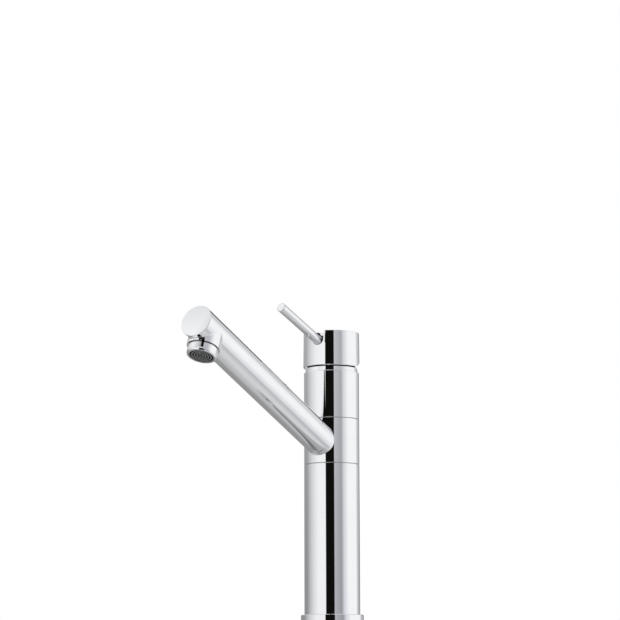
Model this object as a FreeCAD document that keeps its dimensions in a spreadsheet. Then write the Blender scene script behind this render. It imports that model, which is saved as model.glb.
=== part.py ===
import FreeCAD, Part
import Sketcher
import math
import os

# Swivel mixer tap: a slim round column with a swivelling slanted spout, a pin
# lever in a round cap, a ceramic cartridge and its fixing under the worktop.
# The origin is on the column's axis at the worktop's face. +Z is up, and the
# spout and the lever point along -Y at rest.

# Driving sizes in millimetres, and angles in degrees
SIZES = (
    # fits shared by many pieces
    ("slide_fit", 0.1),
    ("running_fit", 0.08),
    ("thread_fit", 0.05),
    ("free_gap", 0.3),
    # base flange and its gasket
    ("flange_step", 3.1),
    ("flange_top", 7.7),
    ("flange_edge", 0.4),
    ("flange_ledge", 4.0),
    ("gasket_thick", 1.2),
    ("gasket_proud", 0.4),
    ("gasket_margin", 1.0),
    ("gasket_width", 5.0),
    ("column_seat", 2.5),
    # column tube
    ("column_radius", 24.5),
    ("column_wall", 2.0),
    ("lower_seam", 140.0),
    ("seam_gap", 0.5),
    ("seam_edge", 0.2),
    ("socket_depth", 6.0),
    ("socket_wall", 1.2),
    # anchor ring in the foot of the column
    ("anchor_height", 10.0),
    ("hose_way_long", 32.0),
    ("hose_way_wide", 16.0),
    ("hose_way_front", 5.0),
    # fixing under the worktop
    ("worktop_thick", 38.0),
    ("stud_radius", 4.0),
    ("stud_back", 12.0),
    ("stud_below", 84.0),
    ("stud_edge", 0.8),
    ("clamp_radius", 24.0),
    ("clamp_slot", 28.0),
    ("clamp_slot_corner", 5.0),
    ("pad_thick", 3.0),
    ("plate_thick", 2.5),
    ("nut_flats", 13.0),
    ("nut_long", 12.0),
    # valve body
    ("valve_below_seam", 18.0),
    ("collar_wall", 4.42),
    ("seal_groove_deep", 2.0),
    ("seal_groove_wide", 2.6),
    ("seal_from_seam", 8.2),
    ("waterway_from_seam", 13.5),
    ("waterway_deep", 2.5),
    ("seat_over_seam", 3.9),
    ("seat_wall", 2.4),
    ("seat_deep", 8.0),
    ("inlet_spread", 8.0),
    ("inlet_front", 4.5),
    ("inlet_radius", 4.5),
    ("inlet_deep", 12.0),
    ("port_spread", 6.5),
    ("port_radius", 2.5),
    ("outlet_back", 6.0),
    ("outlet_port_radius", 3.0),
    # swivel collar, its slide rings and its stop
    ("collar_margin", 12.1),
    ("ring_deep", 1.05),
    ("ring_width", 3.0),
    ("stop_radius", 1.5),
    ("stop_margin", 0.8),
    ("stop_reach", 1.7),
    ("stop_press", 4.0),
    ("swivel_each_way", 70.0),
    # spout tube
    ("spout_angle", 21.2),
    ("spout_exit_over_middle", 1.65),
    ("spout_length", 240.8),
    ("tube_radius", 14.0),
    ("tube_wall", 2.0),
    ("tube_socket_back", 2.35),
    ("spout_port_radius", 8.0),
    ("end_plate", 1.2),
    ("end_plug", 4.0),
    ("end_crown", 0.45),
    ("end_edge", 0.4),
    # outlet boss and aerator
    ("outlet_from_end", 18.3),
    ("boss_step", 0.1),
    ("boss_proud", 1.6),
    ("boss_wall", 2.1),
    ("boss_blend", 0.8),
    ("washer_seat", 8.0),
    ("washer_seat_thick", 2.0),
    ("washer_thick", 1.5),
    ("washer_width", 2.4),
    ("aerator_gap", 0.7),
    ("aerator_step", 0.8),
    ("aerator_plain", 4.6),
    ("aerator_bead", 0.1),
    ("aerator_bead_drop", 5.9),
    ("aerator_drop", 7.3),
    ("aerator_taper", 0.6),
    ("aerator_round", 1.0),
    ("aerator_lip", 1.8),
    ("screen_inset", 0.5),
    ("screen_pitch", 2.2),
    ("screen_rib", 0.9),
    ("screen_rib_deep", 1.2),
    # upper body
    ("body_over_shoulder", 9.7),
    ("body_edge_wide", 1.05),
    ("body_edge_high", 0.6),
    ("neck_height", 4.15),
    ("neck_taper", 0.45),
    ("chamber_wall", 6.8),
    ("nut_room_wall", 5.5),
    # cartridge
    ("cartridge_nut_proud", 2.0),
    ("nut_notch", 3.0),
    ("housing_wall", 4.0),
    ("housing_top_step", 2.5),
    ("housing_lip_thick", 2.7),
    ("housing_lip_wide", 2.2),
    ("cartridge_base_thick", 5.0),
    ("port_seal_thick", 1.0),
    ("port_seal_wide", 1.4),
    ("disc_thick", 4.0),
    ("moving_disc_step", 2.9),
    ("moving_disc_back", 2.5),
    ("disc_pocket_radius", 6.5),
    ("disc_pocket_back", 1.5),
    ("disc_pocket_deep", 2.2),
    ("slider_flange", 3.0),
    ("slider_block", 4.5),
    ("slider_wide", 12.0),
    ("slider_deep", 13.0),
    ("pivot_over_shoulder", 2.0),
    ("pivot_pin_radius", 1.5),
    ("pivot_pin_end", 0.7),
    ("stem_square", 8.0),
    ("stem_ball", 3.0),
    ("stem_neck", 2.4),
    ("ball_below_slider_top", 2.5),
    ("lift_arm", 12.0),
    ("stem_slot_long", 18.0),
    ("rotor_lip_over", 0.6),
    # cover ring on the neck
    ("cover_inset", 0.6),
    ("cover_mouth_inset", 4.3),
    ("cover_high", 7.0),
    ("cover_spigot_wall", 1.9),
    # cap, hub and lever
    ("cap_gap", 0.9),
    ("cap_overhang", 0.6),
    ("cap_draft", 0.35),
    ("cap_height", 31.05),
    ("cap_clear", 0.3),
    ("cap_roof", 3.0),
    ("cap_bevel", 0.4),
    ("cap_round", 0.4),
    ("relief_angle", 18.0),
    ("notch_width", 11.0),
    ("notch_deep", 9.5),
    ("notch_floor_gap", 0.15),
    ("hub_plate", 5.0),
    ("hub_wide", 18.0),
    ("hub_back", 9.0),
    ("hub_socket_wall", 3.4),
    ("hub_socket_drop", 8.4),
    ("hub_core_drop", 2.4),
    ("lever_over_cap_foot", 14.4),
    ("lever_angle", 17.8),
    ("lever_reach", 93.2),
    ("lever_radius", 4.0),
    ("lever_edge", 0.4),
    ("lever_seat_deep", 1.0),
    ("shank_radius", 3.0),
    ("shank_long", 5.0),
)


# A size and the arithmetic on it
class Size:
    """A number, with the sheet expression that it comes from."""

    def __init__(self, number, text):
        self.number = number
        self.text = text

    def __add__(self, other):
        other = as_size(other)
        return Size(self.number + other.number, f"({self.text} + {other.text})")

    def __sub__(self, other):
        other = as_size(other)
        return Size(self.number - other.number, f"({self.text} - {other.text})")

    def __mul__(self, other):
        other = as_size(other)
        return Size(self.number * other.number, f"({self.text} * {other.text})")

    def __truediv__(self, other):
        other = as_size(other)
        return Size(self.number / other.number, f"({self.text} / {other.text})")

    def __neg__(self):
        return Size(-self.number, f"(-{self.text})")


def as_size(value):
    if isinstance(value, Size):
        return value
    return Size(float(value), f"({float(value)})")


def sine(angle):
    return Size(math.sin(math.radians(angle.number)), f"sin({angle.text})")


def cosine(angle):
    return Size(math.cos(math.radians(angle.number)), f"cos({angle.text})")


def tangent(angle):
    return Size(math.tan(math.radians(angle.number)), f"tan({angle.text})")


def root(square):
    return Size(math.sqrt(square.number), f"sqrt({square.text})")


def arc_sine(ratio):
    return Size(math.degrees(math.asin(ratio.number)), f"(asin({ratio.text}) / 1 deg)")


ZERO = as_size(0)

# The document and its sheet of driving sizes
doc = FreeCAD.newDocument("swivel_mixer_tap")
sheet = doc.addObject("Spreadsheet::Sheet", "Sizes")
for row, (alias, value) in enumerate(SIZES, start=1):
    sheet.set(f"A{row}", alias)
    sheet.set(f"B{row}", str(value))
    sheet.setAlias(f"B{row}", alias)
doc.recompute()


class Sheet:
    """The sheet's sizes, by name."""


s = Sheet()
for alias, value in SIZES:
    setattr(s, alias, Size(value, f"Sizes.{alias}"))

# Levels above the worktop, worked out from the driving sizes
column_top = s.lower_seam - s.seam_gap / 2
collar_foot = s.lower_seam + s.seam_gap / 2
collar_pitch = s.tube_radius * 2 + s.collar_margin
upper_seam = s.lower_seam + collar_pitch
collar_top = upper_seam - s.seam_gap / 2
body_foot = upper_seam + s.seam_gap / 2
valve_foot = s.lower_seam - s.valve_below_seam
column_step = column_top - s.socket_depth
cartridge_seat = upper_seam + s.seat_over_seam
valve_top = cartridge_seat + s.seat_deep
fixed_disc_seat = cartridge_seat + s.cartridge_base_thick
moving_disc_seat = fixed_disc_seat + s.disc_thick
slider_seat = moving_disc_seat + s.disc_thick
slider_top = slider_seat + s.slider_flange + s.slider_block
ball_height = slider_top - s.ball_below_slider_top
pivot_height = ball_height + s.lift_arm
shoulder = pivot_height - s.pivot_over_shoulder
body_top = shoulder + s.body_over_shoulder
nut_top = body_top + s.cartridge_nut_proud
neck_top = body_top + s.neck_height
cap_foot = neck_top + s.cap_gap
cap_top = cap_foot + s.cap_height
cap_ceiling = cap_top - s.cap_roof
lever_height = cap_foot + s.lever_over_cap_foot
stop_height = collar_foot + s.ring_deep + s.stop_radius + s.stop_margin
anchor_top = s.column_seat + s.anchor_height
spout_exit = (s.lower_seam + upper_seam) / 2 + s.spout_exit_over_middle
spout_height = spout_exit - s.column_radius * tangent(s.spout_angle)
clamp_top = -s.worktop_thick

# Radii about the column's axis
flange_radius = s.column_radius + s.flange_step
column_bore = s.column_radius - s.column_wall
socket_radius = s.column_radius - s.socket_wall
collar_bore = s.column_radius - s.collar_wall
barrel_radius = collar_bore - s.running_fit
ring_outer = barrel_radius + s.ring_width
seat_radius = barrel_radius - s.seat_wall
chamber_radius = s.column_radius - s.chamber_wall
cartridge_radius = seat_radius - s.slide_fit
nut_room_radius = s.column_radius - s.nut_room_wall
housing_bore = cartridge_radius - s.housing_wall
fixed_disc_radius = housing_bore - s.slide_fit
moving_disc_radius = fixed_disc_radius - s.moving_disc_step
rotor_radius = housing_bore - s.free_gap
housing_top_radius = cartridge_radius - s.housing_top_step
housing_lip_bore = housing_bore - s.housing_lip_wide
cap_radius = s.column_radius + s.cap_overhang
neck_foot_radius = s.column_radius - s.body_edge_wide
neck_top_radius = neck_foot_radius - s.neck_taper
cap_cavity = neck_top_radius + s.cap_clear
hub_front = cap_radius - s.notch_deep
lever_root = (hub_front - s.lever_seat_deep) / cosine(s.lever_angle)

# The outlet, along the spout's axis
outlet_along = s.spout_length - s.outlet_from_end
boss_radius = s.tube_radius - s.boss_step
outlet_thread = boss_radius - s.boss_wall
boss_foot = s.tube_radius + s.boss_proud
aerator_top = boss_foot + s.aerator_gap
aerator_foot = aerator_top + s.aerator_drop
aerator_bore = outlet_thread + s.aerator_step - s.aerator_lip

sub_parts = []


def keep(piece, label):
    """Gives a finished piece its name and puts it on the list of sub-parts."""
    piece.Label = label
    sub_parts.append(piece)
    return piece


def bind(thing, path, size):
    thing.setExpression(path, as_size(size).text)


def place(thing, x=ZERO, y=ZERO, z=ZERO):
    """Binds where a piece stands."""
    numbers = [as_size(size).number for size in (x, y, z)]
    thing.Placement = FreeCAD.Placement(FreeCAD.Vector(*numbers), FreeCAD.Rotation())
    for axis, size in (("x", x), ("y", y), ("z", z)):
        bind(thing, f"Placement.Base.{axis}", size)
    return thing


def lean(thing, angle, x=ZERO, y=ZERO, z=ZERO, about=FreeCAD.Vector(1, 0, 0)):
    """Binds where a piece stands and how far it is turned about an axis."""
    numbers = [as_size(size).number for size in (x, y, z)]
    angle = as_size(angle)
    turn = FreeCAD.Rotation(about, angle.number)
    thing.Placement = FreeCAD.Placement(FreeCAD.Vector(*numbers), turn)
    for axis, size in (("x", x), ("y", y), ("z", z)):
        bind(thing, f"Placement.Base.{axis}", size)
    bind(thing, "Placement.Rotation.Angle", angle)
    return thing


def rod(name, radius, height):
    """A plain cylinder that stands on its own origin."""
    piece = doc.addObject("Part::Cylinder", name)
    bind(piece, "Radius", radius)
    bind(piece, "Height", height)
    return piece


def block(name, x_size, y_size, z_size):
    piece = doc.addObject("Part::Box", name)
    bind(piece, "Length", x_size)
    bind(piece, "Width", y_size)
    bind(piece, "Height", z_size)
    return piece


def less(name, base, *tools):
    """The base with each tool cut away in turn."""
    for number, tool in enumerate(tools, start=1):
        result = doc.addObject("Part::Cut", f"{name}_cut_{number}")
        result.Base = base
        result.Tool = tool
        base = result
    return base


def joined(name, *pieces):
    result = doc.addObject("Part::MultiFuse", f"{name}_joined")
    result.Shapes = list(pieces)
    return result


def common(name, base, tool):
    """What the base and the tool both fill."""
    result = doc.addObject("Part::Common", name)
    result.Base = base
    result.Tool = tool
    return result


def group(name, *pieces):
    """Separate solids that are handled as one piece, such as a set of seals."""
    result = doc.addObject("Part::Compound", f"{name}_set")
    result.Links = list(pieces)
    return result


def origin_plane(body, role):
    for feature in body.Origin.OriginFeatures:
        if feature.Role == role:
            return feature
    raise ValueError(role)


def outline(body, name, role, corners):
    """A closed outline of straight lines in one of the body's own planes."""
    sketch = body.newObject("Sketcher::SketchObject", name)
    sketch.AttachmentSupport = [(origin_plane(body, role), "")]
    sketch.MapMode = "FlatFace"
    corners = [(as_size(across), as_size(up)) for across, up in corners]
    points = [FreeCAD.Vector(across.number, up.number, 0) for across, up in corners]
    count = len(points)
    for index, point in enumerate(points):
        sketch.addGeometry(Part.LineSegment(point, points[(index + 1) % count]), False)
    for index in range(count):
        sketch.addConstraint(Sketcher.Constraint("Coincident", index, 2, (index + 1) % count, 1))
    for index, (across, up) in enumerate(corners):
        if across is ZERO:
            sketch.addConstraint(Sketcher.Constraint("PointOnObject", index, 1, -2))
        else:
            number = sketch.addConstraint(
                Sketcher.Constraint("DistanceX", -1, 1, index, 1, across.number)
            )
            sketch.renameConstraint(number, f"across_{index}")
            sketch.setExpression(f"Constraints.across_{index}", across.text)
        if up is ZERO:
            sketch.addConstraint(Sketcher.Constraint("PointOnObject", index, 1, -1))
        else:
            number = sketch.addConstraint(
                Sketcher.Constraint("DistanceY", -1, 1, index, 1, up.number)
            )
            sketch.renameConstraint(number, f"up_{index}")
            sketch.setExpression(f"Constraints.up_{index}", up.text)
    return sketch


def turned(name, corners):
    """A body turned about its own Z axis from an outline of (radius, height) corners."""
    body = doc.addObject("PartDesign::Body", name)
    sketch = outline(body, f"{name}_profile", "XZ_Plane", corners)
    turning = body.newObject("PartDesign::Revolution", f"{name}_turning")
    turning.Profile = (sketch, [""])
    turning.ReferenceAxis = (sketch, ["V_Axis"])
    turning.Angle = 360
    body.Tip = turning
    return body


def circle_edges(shape, radius, height):
    """Numbers of the edges that run round Z at one radius and one height."""
    numbers = []
    for number, edge in enumerate(shape.Edges, start=1):
        if edge.Degenerated:
            continue
        points = edge.discretize(5)
        if all(abs(math.hypot(p.x, p.y) - radius) < 0.01 and abs(p.z - height) < 0.01 for p in points):
            numbers.append(number)
    return numbers


def round_edge(body, name, radius, height, size):
    """Rounds a turned body's edge of one radius at one height."""
    doc.recompute()
    turning = body.Tip
    rim = circle_edges(turning.Shape, radius.number, height.number)
    rounding = body.newObject("PartDesign::Fillet", name)
    rounding.Base = (turning, [f"Edge{number}" for number in rim])
    rounding.Radius = size.number
    bind(rounding, "Radius", size)
    body.Tip = rounding


# Base flange and gasket
def make_base():
    gasket_outer = flange_radius - s.gasket_margin
    gasket_inner = gasket_outer - s.gasket_width
    flange_bore = s.column_radius - s.flange_ledge
    groove_top = s.gasket_thick
    flange = turned("base_flange", [
        (flange_bore, s.gasket_proud),
        (gasket_inner, s.gasket_proud),
        (gasket_inner, groove_top),
        (gasket_outer, groove_top),
        (gasket_outer, s.gasket_proud),
        (flange_radius, s.gasket_proud),
        (flange_radius, s.flange_top - s.flange_edge),
        (flange_radius - s.flange_edge, s.flange_top),
        (s.column_radius + s.slide_fit, s.flange_top),
        (s.column_radius + s.slide_fit, s.column_seat),
        (flange_bore, s.column_seat),
    ])
    keep(flange, "base_flange")
    gasket = turned("base_gasket", [
        (gasket_inner + s.slide_fit, ZERO),
        (gasket_outer - s.slide_fit, ZERO),
        (gasket_outer - s.slide_fit, groove_top),
        (gasket_inner + s.slide_fit, groove_top),
    ])
    keep(gasket, "base_gasket")


# Column tube, plain at the foot and stepped at the top to hold the valve body
def make_column():
    tube = turned("column_tube", [
        (column_bore, s.column_seat),
        (s.column_radius, s.column_seat),
        (s.column_radius, column_top - s.seam_edge),
        (s.column_radius - s.seam_edge, column_top),
        (socket_radius, column_top),
        (socket_radius, column_step),
        (column_bore, column_step),
    ])
    keep(tube, "column_tube")


def obround(name, long, wide, front, low, high):
    """An upright slot with round ends, as a cutting tool."""
    height = high - low
    straight = long - wide
    middle = block(f"{name}_middle", straight, wide, height)
    place(middle, -straight / 2, -(front + wide / 2), low)
    left = place(rod(f"{name}_left", wide / 2, height), -straight / 2, -front, low)
    right = place(rod(f"{name}_right", wide / 2, height), straight / 2, -front, low)
    return joined(name, middle, left, right)


# Anchor ring: the stud pulls on it, and the hoses pass through it
def make_anchor():
    disc = place(rod("anchor_disc", column_bore - s.thread_fit, s.anchor_height), z=s.column_seat)
    past = s.free_gap
    way = obround(
        "anchor_hose_way",
        s.hose_way_long,
        s.hose_way_wide,
        s.hose_way_front,
        s.column_seat - past,
        anchor_top + past,
    )
    hole = rod("anchor_stud_hole", s.stud_radius + s.thread_fit, s.anchor_height + past * 2)
    place(hole, y=s.stud_back, z=s.column_seat - past)
    keep(less("anchor_ring", disc, way, hole), "anchor_ring")


# Horseshoe that clamps under the worktop, open to the front for the hoses
def horseshoe(name, top, thick):
    past = s.free_gap
    low = top - thick - past
    high = thick + past * 2
    disc = place(rod(f"{name}_disc", s.clamp_radius, thick), z=top - thick)
    deep = s.clamp_radius + s.hose_way_wide / 2 - s.hose_way_front
    corner = s.clamp_slot_corner
    straight = block(f"{name}_slot_straight", s.clamp_slot, deep - corner, high)
    place(straight, -s.clamp_slot / 2, -s.clamp_radius, low)
    inner = block(f"{name}_slot_inner", s.clamp_slot - corner * 2, deep, high)
    place(inner, corner - s.clamp_slot / 2, -s.clamp_radius, low)
    corner_y = deep - corner - s.clamp_radius
    left = place(rod(f"{name}_corner_left", corner, high), corner - s.clamp_slot / 2, corner_y, low)
    right = place(rod(f"{name}_corner_right", corner, high), s.clamp_slot / 2 - corner, corner_y, low)
    slot = joined(f"{name}_slot", straight, inner, left, right)
    hole = rod(f"{name}_stud_hole", s.stud_radius + s.free_gap, high)
    place(hole, y=s.stud_back, z=low)
    return less(name, disc, slot, hole)


# Stud, rubber pad, steel plate and nut
def make_fixing():
    pad_foot = clamp_top - s.pad_thick
    plate_foot = pad_foot - s.plate_thick
    stud = turned("fixing_stud", [
        (ZERO, -s.stud_below),
        (s.stud_radius - s.stud_edge, -s.stud_below),
        (s.stud_radius, s.stud_edge - s.stud_below),
        (s.stud_radius, anchor_top - s.stud_edge * 2),
        (s.stud_radius - s.stud_edge, anchor_top - s.stud_edge),
        (ZERO, anchor_top - s.stud_edge),
    ])
    keep(place(stud, y=s.stud_back), "fixing_stud")
    keep(horseshoe("clamp_pad", clamp_top, s.pad_thick), "clamp_pad")
    keep(horseshoe("clamp_plate", pad_foot, s.plate_thick), "clamp_plate")
    hexagon = doc.addObject("Part::Prism", "fixing_nut_hexagon")
    hexagon.Polygon = 6
    bind(hexagon, "Circumradius", s.nut_flats / as_size(math.sqrt(3)))
    bind(hexagon, "Height", s.nut_long)
    place(hexagon, y=s.stud_back, z=plate_foot - s.nut_long)
    thread = rod("fixing_nut_thread", s.stud_radius + s.thread_fit, s.nut_long + s.free_gap * 2)
    place(thread, y=s.stud_back, z=plate_foot - s.nut_long - s.free_gap)
    keep(less("fixing_nut", hexagon, thread), "fixing_nut")


# Valve body: the brass core that carries the cartridge and the spout
def make_valve_body():
    groove_floor = barrel_radius - s.seal_groove_deep
    low_seal = s.lower_seam + s.seal_from_seam
    high_seal = upper_seam - s.seal_from_seam
    half_groove = s.seal_groove_wide / 2
    water_floor = barrel_radius - s.waterway_deep
    core = turned("valve_body_core", [
        (ZERO, valve_foot),
        (column_bore - s.slide_fit, valve_foot),
        (column_bore - s.slide_fit, column_step),
        (socket_radius - s.slide_fit, column_step),
        (socket_radius - s.slide_fit, column_top),
        (barrel_radius, column_top),
        (barrel_radius, low_seal - half_groove),
        (groove_floor, low_seal - half_groove),
        (groove_floor, low_seal + half_groove),
        (barrel_radius, low_seal + half_groove),
        (barrel_radius, s.lower_seam + s.waterway_from_seam),
        (water_floor, s.lower_seam + s.waterway_from_seam),
        (water_floor, upper_seam - s.waterway_from_seam),
        (barrel_radius, upper_seam - s.waterway_from_seam),
        (barrel_radius, high_seal - half_groove),
        (groove_floor, high_seal - half_groove),
        (groove_floor, high_seal + half_groove),
        (barrel_radius, high_seal + half_groove),
        (barrel_radius, valve_top),
        (seat_radius, valve_top),
        (seat_radius, cartridge_seat),
        (ZERO, cartridge_seat),
    ])
    tools = []
    for side, direction in (("cold", 1), ("hot", -1)):
        inlet = rod(f"{side}_inlet_thread", s.inlet_radius, s.inlet_deep + s.free_gap)
        tools.append(place(inlet, s.inlet_spread * direction, -s.inlet_front, valve_foot - s.free_gap))
        channel = rod(f"{side}_channel", s.port_radius, cartridge_seat - valve_foot)
        tools.append(place(channel, s.port_spread * direction, -s.inlet_front, valve_foot + s.free_gap))
    mixed_level = (s.lower_seam + upper_seam) / 2
    down = rod("mixed_channel_down", s.outlet_port_radius, cartridge_seat - mixed_level + s.free_gap)
    tools.append(place(down, y=s.outlet_back, z=mixed_level))
    across = rod("mixed_channel_across", s.outlet_port_radius, barrel_radius - s.outlet_back)
    tools.append(lean(across, -90, y=s.outlet_back, z=mixed_level))
    stop_hole_floor = barrel_radius - s.stop_press
    stop_hole = rod("stop_pin_hole", s.stop_radius + s.thread_fit, s.stop_press + s.free_gap)
    tools.append(lean(stop_hole, -90, y=stop_hole_floor, z=stop_height))
    keep(less("valve_body", core, *tools), "valve_body")
    pin = rod("swivel_stop_pin", s.stop_radius, s.stop_press + s.stop_reach)
    keep(lean(pin, -90, y=stop_hole_floor, z=stop_height), "swivel_stop_pin")


# Seals and slide rings between the valve body and the swivel collar
def make_swivel_seals():
    groove_floor = barrel_radius - s.seal_groove_deep
    seal_section = (collar_bore - groove_floor - s.slide_fit) / 2
    seals = []
    levels = (s.lower_seam + s.seal_from_seam, upper_seam - s.seal_from_seam)
    for name, level in zip(("low", "high"), levels):
        seal = doc.addObject("Part::Torus", f"swivel_seal_{name}")
        bind(seal, "Radius1", groove_floor + seal_section)
        bind(seal, "Radius2", seal_section)
        seals.append(place(seal, z=level))
    keep(group("swivel_seals", *seals), "swivel_seals")
    ring_thick = s.ring_deep + s.seam_gap
    low_ring = turned("lower_slide_ring", [
        (barrel_radius + s.slide_fit, column_top),
        (ring_outer, column_top),
        (ring_outer, column_top + ring_thick),
        (barrel_radius + s.slide_fit, column_top + ring_thick),
    ])
    keep(low_ring, "lower_slide_ring")
    high_ring = turned("upper_slide_ring", [
        (barrel_radius + s.slide_fit, body_foot - ring_thick),
        (ring_outer, body_foot - ring_thick),
        (ring_outer, body_foot),
        (barrel_radius + s.slide_fit, body_foot),
    ])
    keep(high_ring, "upper_slide_ring")


def along_spout(distance):
    """Where a point of the spout's axis lies, as its Y and Z."""
    return -distance * cosine(s.spout_angle), spout_height + distance * sine(s.spout_angle)


# Swivel collar, with a socket for the spout tube and a slot for the stop pin
def make_collar():
    recess = ring_outer + s.slide_fit
    sleeve = turned("collar_sleeve", [
        (recess, collar_foot),
        (s.column_radius - s.seam_edge, collar_foot),
        (s.column_radius, collar_foot + s.seam_edge),
        (s.column_radius, collar_top - s.seam_edge),
        (s.column_radius - s.seam_edge, collar_top),
        (recess, collar_top),
        (recess, collar_top - s.ring_deep),
        (collar_bore, collar_top - s.ring_deep),
        (collar_bore, collar_foot + s.ring_deep),
        (recess, collar_foot + s.ring_deep),
    ])
    socket_floor = collar_bore + s.tube_socket_back
    drill = rod("spout_socket_drill", s.tube_radius + s.thread_fit, s.column_radius * 2)
    lean(drill, as_size(90) - s.spout_angle, z=spout_height)
    inside = rod("spout_socket_floor", socket_floor, collar_pitch * 2)
    place(inside, z=s.lower_seam - collar_pitch / 2)
    socket = less("spout_socket", drill, inside)
    port = rod("spout_port", s.spout_port_radius, s.column_radius)
    lean(port, as_size(90) - s.spout_angle, z=spout_height)
    stop_half_angle = arc_sine((s.stop_radius + s.free_gap) / barrel_radius)
    sweep = (s.swivel_each_way + stop_half_angle) * 2
    slot = rod("stop_slot", barrel_radius + s.stop_reach + s.free_gap, (s.stop_radius + s.free_gap) * 2)
    bind(slot, "Angle", sweep)
    lean(
        slot,
        as_size(90) - sweep / 2,
        z=stop_height - s.stop_radius - s.free_gap,
        about=FreeCAD.Vector(0, 0, 1),
    )
    keep(less("spout_collar", sleeve, socket, port, slot), "spout_collar")


# Spout tube with its outlet boss, trimmed to the round of its socket
def make_spout_tube():
    tilt = as_size(90) - s.spout_angle
    tube_length = s.spout_length - s.end_plate
    outside = rod("spout_tube_outside", s.tube_radius, tube_length)
    lean(outside, 90, about=FreeCAD.Vector(0, 0, 1))
    boss = rod("outlet_boss_outside", boss_radius, boss_foot)
    # A third of a turn points it down with its seam clear of the tube's flank
    lean(boss, 120, z=outlet_along, about=FreeCAD.Vector(1, -1, 1))
    skin = joined("spout_tube_skin", outside, boss)
    doc.recompute()
    blend = doc.addObject("Part::Fillet", "outlet_blend")
    blend.Base = skin
    size = s.boss_blend.number
    blend.Edges = [(number, size, size) for number in crease_edges(skin.Shape)]
    bore = rod("spout_tube_bore", s.tube_radius - s.tube_wall, tube_length)
    thread = rod("outlet_thread", outlet_thread, boss_foot)
    lean(thread, 90, z=outlet_along)
    seat_ring = rod("washer_seat_ring", outlet_thread, s.washer_seat_thick)
    lean(seat_ring, 90, y=s.washer_seat_thick - s.washer_seat, z=outlet_along)
    seat_hole = rod("washer_seat_hole", outlet_thread - s.washer_width, boss_foot)
    lean(seat_hole, 90, z=outlet_along)
    hollow = less("spout_tube_hollow", blend, bore, thread)
    seated = joined("spout_tube_seated", hollow, seat_ring)
    blank = less("spout_tube_blank", seated, seat_hole)
    lean(blank, tilt, z=spout_height)
    socket_floor = collar_bore + s.tube_socket_back
    trim = rod("spout_tube_trim", socket_floor + s.thread_fit, collar_pitch * 2)
    place(trim, z=s.lower_seam - collar_pitch / 2)
    keep(less("spout_tube", blank, trim), "spout_tube")


def crease_edges(shape):
    """Numbers of the edges where the outlet boss runs into the tube."""
    numbers = []
    for number, edge in enumerate(shape.Edges, start=1):
        if isinstance(edge.Curve, (Part.Circle, Part.Line)):
            continue
        numbers.append(number)
    return numbers


# Plate that closes the spout's end, slightly crowned and rounded at its rim
def make_spout_end():
    tube_end = s.spout_length - s.end_plate
    plug_radius = s.tube_radius - s.tube_wall - s.thread_fit
    blank = turned("end_plate_blank", [
        (ZERO, tube_end - s.end_plug),
        (plug_radius, tube_end - s.end_plug),
        (plug_radius, tube_end),
        (s.tube_radius, tube_end),
        (s.tube_radius, s.spout_length),
        (ZERO, s.spout_length),
    ])
    crown_radius = (s.tube_radius * s.tube_radius + s.end_crown * s.end_crown) / (s.end_crown * 2)
    crown = doc.addObject("Part::Sphere", "end_plate_crown")
    bind(crown, "Radius", crown_radius)
    lean(crown, 90, z=s.spout_length - crown_radius)
    crowned = common("end_plate_crowned", blank, crown)
    doc.recompute()
    plate = doc.addObject("Part::Fillet", "end_plate_round")
    plate.Base = crowned
    rim = circle_edges(crowned.Shape, s.tube_radius.number, (s.spout_length - s.end_crown).number)
    plate.Edges = [(number, s.end_edge.number, s.end_edge.number) for number in rim]
    keep(lean(plate, as_size(90) - s.spout_angle, z=spout_height), "spout_end_plate")


def at_outlet(piece):
    """Puts a piece that is turned about the outlet's axis in its place, Z downwards."""
    y, z = along_spout(outlet_along)
    return lean(piece, as_size(180) - s.spout_angle, y=y, z=z)


# Aerator: threaded ring, washer and screen insert
def make_aerator():
    thread_radius = outlet_thread - s.slide_fit
    ring_radius = outlet_thread + s.aerator_step
    insert_top = s.washer_seat + s.washer_thick
    inner_ledge = s.washer_width / 2
    bead_radius = ring_radius + s.aerator_bead
    foot_radius = bead_radius - s.aerator_taper
    plain_foot = aerator_top + s.aerator_plain
    ring = turned("aerator_ring", [
        (aerator_bore - inner_ledge, insert_top),
        (thread_radius, insert_top),
        (thread_radius, aerator_top),
        (ring_radius, aerator_top),
        (ring_radius, plain_foot),
        (ring_radius + s.aerator_bead / 2, plain_foot + s.aerator_bead / 2),
        (bead_radius, aerator_top + s.aerator_bead_drop),
        (foot_radius, aerator_foot),
        (aerator_bore, aerator_foot),
        (aerator_bore, insert_top + inner_ledge),
        (aerator_bore - inner_ledge, insert_top + inner_ledge),
    ])
    round_edge(ring, "aerator_lip_round", foot_radius, aerator_foot, s.aerator_round)
    keep(at_outlet(ring), "aerator_ring")
    washer = turned("aerator_washer", [
        (outlet_thread - s.washer_width, s.washer_seat),
        (thread_radius, s.washer_seat),
        (thread_radius, insert_top),
        (outlet_thread - s.washer_width, insert_top),
    ])
    keep(at_outlet(washer), "aerator_washer")
    screen_radius = aerator_bore - s.slide_fit
    screen_face = aerator_foot - s.screen_inset
    rib_floor = screen_face - s.screen_rib_deep
    corners = [
        (ZERO, insert_top + inner_ledge),
        (screen_radius, insert_top + inner_ledge),
        (screen_radius, screen_face),
        (screen_radius - s.screen_rib, screen_face),
        (screen_radius - s.screen_rib, rib_floor),
    ]
    inner_ribs = 3
    for number in range(1, inner_ribs + 1):
        outer = screen_radius - s.screen_pitch * number
        corners.append((outer, rib_floor))
        corners.append((outer, screen_face))
        corners.append((outer - s.screen_rib, screen_face))
        corners.append((outer - s.screen_rib, rib_floor))
    corners.append((ZERO, rib_floor))
    insert = turned("aerator_screen", corners)
    keep(at_outlet(insert), "aerator_screen")


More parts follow.
